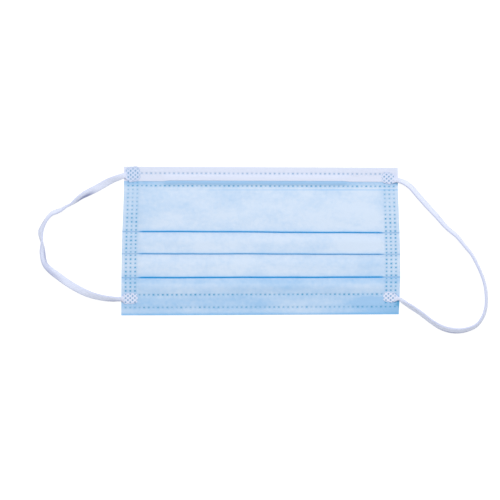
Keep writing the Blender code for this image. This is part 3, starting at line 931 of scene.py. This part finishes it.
def band_ring(point, forwards, along):
    """The band's outline at a point: a flat oval with knitted ribs, or the thin wide weld at its ends."""
    flat = point["flat"]
    drawn = point["width"] + (1 - point["width"]) * flat
    width = (BAND_WIDTH + (LOOP_END_WIDTH - BAND_WIDTH) * flat) * drawn * point["tip"]
    thickness = BAND_THICKNESS * (1 + NECK_BULGE - NECK_BULGE * drawn)
    thickness += (LOOP_END_THICKNESS - thickness) * flat
    sideways = forwards.cross(Vector((0.0, 0.0, 1.0))).normalized()
    up = sideways.cross(forwards).normalized()
    angle = math.radians(point["turn"])
    wide = sideways * math.cos(angle) + up * math.sin(angle)
    thin = up * math.cos(angle) - sideways * math.sin(angle)
    ring = []
    for k in range(RING_POINTS):
        a = 2 * math.pi * k / RING_POINTS
        across = rounded(math.cos(a), BAND_SIDE_POWER)
        height = rounded(math.sin(a), BAND_FACE_POWER)
        rib = RIB_HEIGHT * math.cos(across * math.pi * RIB_COUNT) * (1 - flat) * abs(height)
        wave = noise.noise(Vector((along / WRINKLE_LENGTH, across * 1.5, 5.0)))
        wrinkle = WRINKLE_HEIGHT * wave * (1 - flat)
        lift = height * thickness / 2 + math.copysign(rib + wrinkle, height)
        ring.append((point["at"] + wide * across * width / 2 + thin * lift, across, height))
    return ring


def end_pit(at, end):
    """0 to 1: the staggered pits that weld a loop's end to the cloth, in line with the side seam's dots."""
    edge = place(end["side"] * MASK_WIDTH / 2, at.y, 0.0, False).x
    column = (abs(edge - at.x) - DOT_COLUMN_START) / DOT_COLUMN_PITCH
    row = (at.y - end["at"].y) / DOT_ROW_PITCH
    pit = 0.0
    for shift in (0.0, 0.5):
        u = (column + shift + 0.5) % 1.0 - 0.5
        v = (row + shift + 0.5) % 1.0 - 0.5
        distance = math.hypot(u * DOT_COLUMN_PITCH, v * DOT_ROW_PITCH)
        pit = max(pit, 1 - smooth((distance / PIT_RADIUS - PIT_FLOOR) / (1 - PIT_FLOOR)))
    return pit


def band_shade(name, at, across):
    """0 to 1: how dark a loop's band looks at a place, most at one of its edges."""
    total = 0.0
    for x, y, reach, edge, middle, shade in BAND_SHADES[name]:
        away = math.hypot(at.x - x, at.y - y) / reach
        total += shade * (1 - smooth(away)) * smooth(middle + SHADE_SLOPE * edge * across)
    return min(total, 1.0)


def add_ear_loop(name, route, upper, lower, material):
    mesh = bmesh.new()
    mark_names = ("weld", "along", "across", "shade", "clear")
    marks = {mark: mesh.verts.layers.float.new(mark) for mark in mark_names}
    points = along_loop(loop_points(route, upper, lower, BAND_LEAN[name]))
    path = [point["at"].copy() for point in points]
    total = sum((b - a).length for a, b in zip(path, path[1:]))
    ends = [{**LOOP_ENDS[upper], "at": path[0]}, {**LOOP_ENDS[lower], "at": path[-1]}]
    rings = []
    walked = 0.0
    for index, point in enumerate(points):
        ahead = path[min(index + 1, len(path) - 1)]
        behind = path[max(index - 1, 0)]
        if index:
            walked += (path[index] - path[index - 1]).length
        end = ends[0] if walked < total / 2 else ends[1]
        ring = []
        for at, across, height in band_ring(point, (ahead - behind).normalized(), walked):
            pit = 0.0
            if height > UPPER_FACE and point["flat"] > PIT_START:
                pit = end_pit(at, end) * smooth((point["flat"] - PIT_START) / PIT_FADE)
            vertex = mesh.verts.new(at - Vector((0.0, 0.0, PIT_DEPTH * pit)))
            vertex[marks["weld"]] = pit
            vertex[marks["along"]] = walked
            vertex[marks["across"]] = across
            vertex[marks["shade"]] = band_shade(name, at, across)
            vertex[marks["clear"]] = end["clear"] * point["flat"]
            ring.append(vertex)
        rings.append(ring)
    join_rings(mesh, rings)
    return finish_mesh(name, mesh, material), path, total


# Materials

class Nodes:
    """A material's nodes, made and linked in short calls."""

    def __init__(self, name):
        self.material = bpy.data.materials.new(name)
        self.material.use_nodes = True
        self.tree = self.material.node_tree
        self.shader = self.tree.nodes["Principled BSDF"]

    def feed(self, socket, value):
        if isinstance(value, bpy.types.NodeSocket):
            self.tree.links.new(value, socket)
        else:
            socket.default_value = value

    def math(self, operation, *values):
        made = self.tree.nodes.new("ShaderNodeMath")
        made.operation = operation
        for socket, value in zip(made.inputs, values):
            self.feed(socket, value)
        return made.outputs[0]

    def clamped(self, value):
        made = self.tree.nodes.new("ShaderNodeClamp")
        self.feed(made.inputs["Value"], value)
        return made.outputs[0]

    def attribute(self, name):
        made = self.tree.nodes.new("ShaderNodeAttribute")
        made.attribute_name = name
        return made.outputs["Fac"]

    def mix(self, share, first, second):
        made = self.tree.nodes.new("ShaderNodeMix")
        made.data_type = "RGBA"
        for socket, value in zip((made.inputs[0], made.inputs[6], made.inputs[7]), (share, first, second)):
            self.feed(socket, value)
        return made.outputs[2]

    def position(self):
        return self.tree.nodes.new("ShaderNodeTexCoord").outputs["Object"]

    def parts(self, vector):
        made = self.tree.nodes.new("ShaderNodeSeparateXYZ")
        self.feed(made.inputs[0], vector)
        return made.outputs

    def noise(self, scale, detail=3.0, roughness=0.55, vector=None):
        made = self.tree.nodes.new("ShaderNodeTexNoise")
        made.inputs["Scale"].default_value = scale
        made.inputs["Detail"].default_value = detail
        made.inputs["Roughness"].default_value = roughness
        self.feed(made.inputs["Vector"], vector or self.position())
        return made.outputs["Fac"]

    def around_zero(self, value, amount):
        return self.math("MULTIPLY", self.math("SUBTRACT", value, 0.5), amount)

    def stretched(self, scale, turn_degrees):
        made = self.tree.nodes.new("ShaderNodeMapping")
        self.feed(made.inputs["Vector"], self.position())
        made.inputs["Scale"].default_value = scale
        made.inputs["Rotation"].default_value = (0.0, 0.0, math.radians(turn_degrees))
        return made.outputs["Vector"]

    def bump(self, height, distance, strength=1.0, normal=None):
        made = self.tree.nodes.new("ShaderNodeBump")
        made.inputs["Strength"].default_value = strength
        made.inputs["Distance"].default_value = distance
        self.feed(made.inputs["Height"], height)
        if normal is not None:
            self.feed(made.inputs["Normal"], normal)
        return made.outputs["Normal"]


def nonwoven(name, colours, depth_share, crease_y=None):
    """Thermally bonded nonwoven: cloudy, with fine fibres, a staggered grid of bond points and painted shade.
    """
    n = Nodes(name)
    cloud = n.noise(1.0, 3.0, 0.55, n.stretched(CLOUD_SCALES, CLOUD_TURN))
    fine_cloud = n.noise(FINE_CLOUD_SCALE, 3.0, 0.5)
    clouding = n.math("ADD", n.around_zero(cloud, 1.0), n.around_zero(fine_cloud, FINE_CLOUD_SHARE))
    depth = n.math("MULTIPLY", n.attribute("deep"), depth_share)
    tone = n.mix(n.clamped(n.math("ADD", depth, clouding)), colours["light"], colours["deep"])
    # Painted shade along the folds, with the faint third line below the top hem added in the same colour
    crease = n.attribute("crease")
    if crease_y is not None:
        x, y, _ = n.parts(n.position())
        away = n.math("DIVIDE", n.math("ABSOLUTE", n.math("SUBTRACT", y, crease_y)), THIRD_CREASE_REACH)
        line = n.clamped(n.math("SUBTRACT", 1.0, away))
        rise = n.math("MULTIPLY", x, CREASE_RISE)
        strength = n.clamped(n.math("ADD", rise, n.math("MULTIPLY", cloud, CREASE_CLOUD)))
        line = n.math("MULTIPLY", n.math("MULTIPLY", line, strength), THIRD_CREASE_LINE)
        crease = n.math("ADD", crease, line)
    tone = n.mix(n.clamped(crease), tone, colours["crease"])
    # The weld mark holds the weld dots and the painted shadow under the elastic's ends
    weld = n.attribute("weld")
    tone = n.mix(n.math("MULTIPLY", weld, WELD_AND_SHADOW_SHARE), tone, colours["weld"])
    n.feed(n.shader.inputs["Base Color"], tone)
    rough = n.math("SUBTRACT", n.math("ADD", 0.72, n.math("MULTIPLY", fine_cloud, 0.2)),
                   n.math("MULTIPLY", weld, 0.30))
    n.feed(n.shader.inputs["Roughness"], rough)
    n.shader.inputs["Sheen Weight"].default_value = 0.12
    n.shader.inputs["Sheen Roughness"].default_value = 0.5
    n.shader.inputs["IOR"].default_value = 1.46
    fibres = [n.noise(1.0, 2.0, 0.6, n.stretched(row["scales"], row["turn"])) for row in FIBRES]
    turned = n.parts(n.stretched((1.0, 1.0, 1.0), 45.0))
    waves = [n.math("SINE", n.math("MULTIPLY", turned[k], 2 * math.pi / BOND_PITCH)) for k in (0, 1)]
    normal = n.bump(n.math("MULTIPLY", *waves), *BOND_BUMP)
    normal = n.bump(n.math("ADD", *fibres), *FIBRE_BUMP, normal)
    normal = n.bump(cloud, *CLOUD_BUMP, normal)
    n.feed(n.shader.inputs["Normal"], normal)
    return n.material


def knitted_elastic():
    """Soft knitted band: rows of small loops across it, bluish pits where its ends are welded, and painted
    shade.
    """
    n = Nodes("knitted_elastic")
    across = n.attribute("across")
    rows = n.math("SINE", n.math("MULTIPLY", n.attribute("along"), 2 * math.pi / STITCH_PITCH))
    ribs = n.math("COSINE", n.math("MULTIPLY", across, math.pi * 10))
    stitches = n.math("MULTIPLY", rows, ribs)
    cloud = n.noise(ELASTIC_CLOUD_SCALE, 3.0, 0.6)
    tone = n.mix(cloud, ELASTIC["light"], ELASTIC["deep"])
    tone = n.mix(n.attribute("clear"), tone, ELASTIC["clear"])
    # Painted shade along the band's rounded edges
    edge = n.math("POWER", n.math("ABSOLUTE", across), 5.0)
    tone = n.mix(n.math("MULTIPLY", edge, ELASTIC_SHARES["edge"]), tone, ELASTIC["edge"])
    for mark in ("shade", "weld"):
        tone = n.mix(n.math("MULTIPLY", n.attribute(mark), ELASTIC_SHARES[mark]), tone, ELASTIC[mark])
    n.feed(n.shader.inputs["Base Color"], tone)
    n.feed(n.shader.inputs["Roughness"], n.math("ADD", 0.78, n.math("MULTIPLY", cloud, 0.15)))
    n.shader.inputs["Sheen Weight"].default_value = 0.25
    n.shader.inputs["Sheen Roughness"].default_value = 0.4
    normal = n.bump(stitches, *STITCH_BUMP)
    normal = n.bump(n.noise(YARN_SCALE, 2.0, 0.6), *YARN_BUMP, normal)
    n.feed(n.shader.inputs["Normal"], normal)
    return n.material


def coated_wire():
    n = Nodes("coated_wire")
    cloud = n.noise(COATING_CLOUD_SCALE, 2.0, 0.5)
    n.feed(n.shader.inputs["Base Color"], n.mix(cloud, COATING["light"], COATING["deep"]))
    n.feed(n.shader.inputs["Roughness"], n.math("ADD", 0.35, n.math("MULTIPLY", cloud, 0.15)))
    n.feed(n.shader.inputs["Normal"], n.bump(n.noise(COATING_GRAIN_SCALE, 2.0, 0.5), *COATING_BUMP))
    return n.material


def floor_material():
    """A pale table that glows a little from within, so that thin things throw hardly any shadow on it."""
    n = Nodes("pale_floor")
    shade = n.noise(FLOOR_CLOUD_SCALE, 2.0, 0.5)
    n.feed(n.shader.inputs["Base Color"], n.mix(shade, FLOOR["light"], FLOOR["deep"]))
    n.shader.inputs["Roughness"].default_value = 0.9
    n.shader.inputs["Emission Color"].default_value = PLAIN_WHITE
    n.shader.inputs["Emission Strength"].default_value = FLOOR_GLOW
    return n.material


# Studio

def add_camera():
    data = bpy.data.cameras.new("camera")
    data.sensor_width = SENSOR_WIDTH
    data.lens = SENSOR_WIDTH * CAMERA_HEIGHT / PHOTO_WIDTH
    data.clip_start = CLIP_START
    camera = bpy.data.objects.new("camera", data)
    camera.location = (*PHOTO_CENTRE, CAMERA_HEIGHT)
    bpy.context.scene.collection.objects.link(camera)
    bpy.context.scene.camera = camera


def add_area_light(name, location, target, size, power):
    data = bpy.data.lights.new(name, "AREA")
    data.shape = "DISK"
    data.size = size
    data.energy = power
    light = bpy.data.objects.new(name, data)
    light.location = location
    light.rotation_euler = (Vector(target) - Vector(location)).to_track_quat("-Z", "Y").to_euler()
    bpy.context.scene.collection.objects.link(light)


def add_studio():
    world = bpy.data.worlds.new("studio")
    world.use_nodes = True
    world.node_tree.nodes["Background"].inputs["Color"].default_value = PLAIN_WHITE
    world.node_tree.nodes["Background"].inputs["Strength"].default_value = SKY_STRENGTH
    bpy.context.scene.world = world
    bpy.context.scene.view_settings.view_transform = "Standard"
    add_area_light("key", **KEY_LIGHT)
    mesh = bmesh.new()
    bmesh.ops.create_grid(mesh, x_segments=2, y_segments=2, size=FLOOR_REACH)
    floor = finish_mesh("floor", mesh, floor_material())
    floor.location.z = -FLOOR_DROP


def build():
    add_camera()
    elastic = knitted_elastic()
    loops = (
        ("elastic_left", LEFT_ROUTE, "top_left", "bottom_left", "ear_loop_left"),
        ("elastic_right", RIGHT_ROUTE, "top_right", "bottom_right", "ear_loop_right"),
    )
    for name, route, upper, lower, node in loops:
        loop, path, total = add_ear_loop(name, route, upper, lower, elastic)
        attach(loop, "root")
        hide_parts(node, "loop_end_" + upper, "loop_end_" + lower)

    blue = nonwoven("blue_nonwoven", BLUE_CLOTH, 1.0, TOP - THIRD_CREASE_DROP)
    white = nonwoven("white_nonwoven", WHITE_CLOTH, 0.0)
    outer = add_layer("outer_layer", outer_path, "outer", blue)
    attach(outer, "root")
    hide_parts("pleated_panel")
    inner = add_layer("inner_layer", inner_path, "inner", white)
    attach(inner, "root")
    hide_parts("top_hem", "pleated_panel")
    wire = add_nose_wire(coated_wire())
    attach(wire, "root")
    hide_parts("nose_wire")
    add_studio()


build()
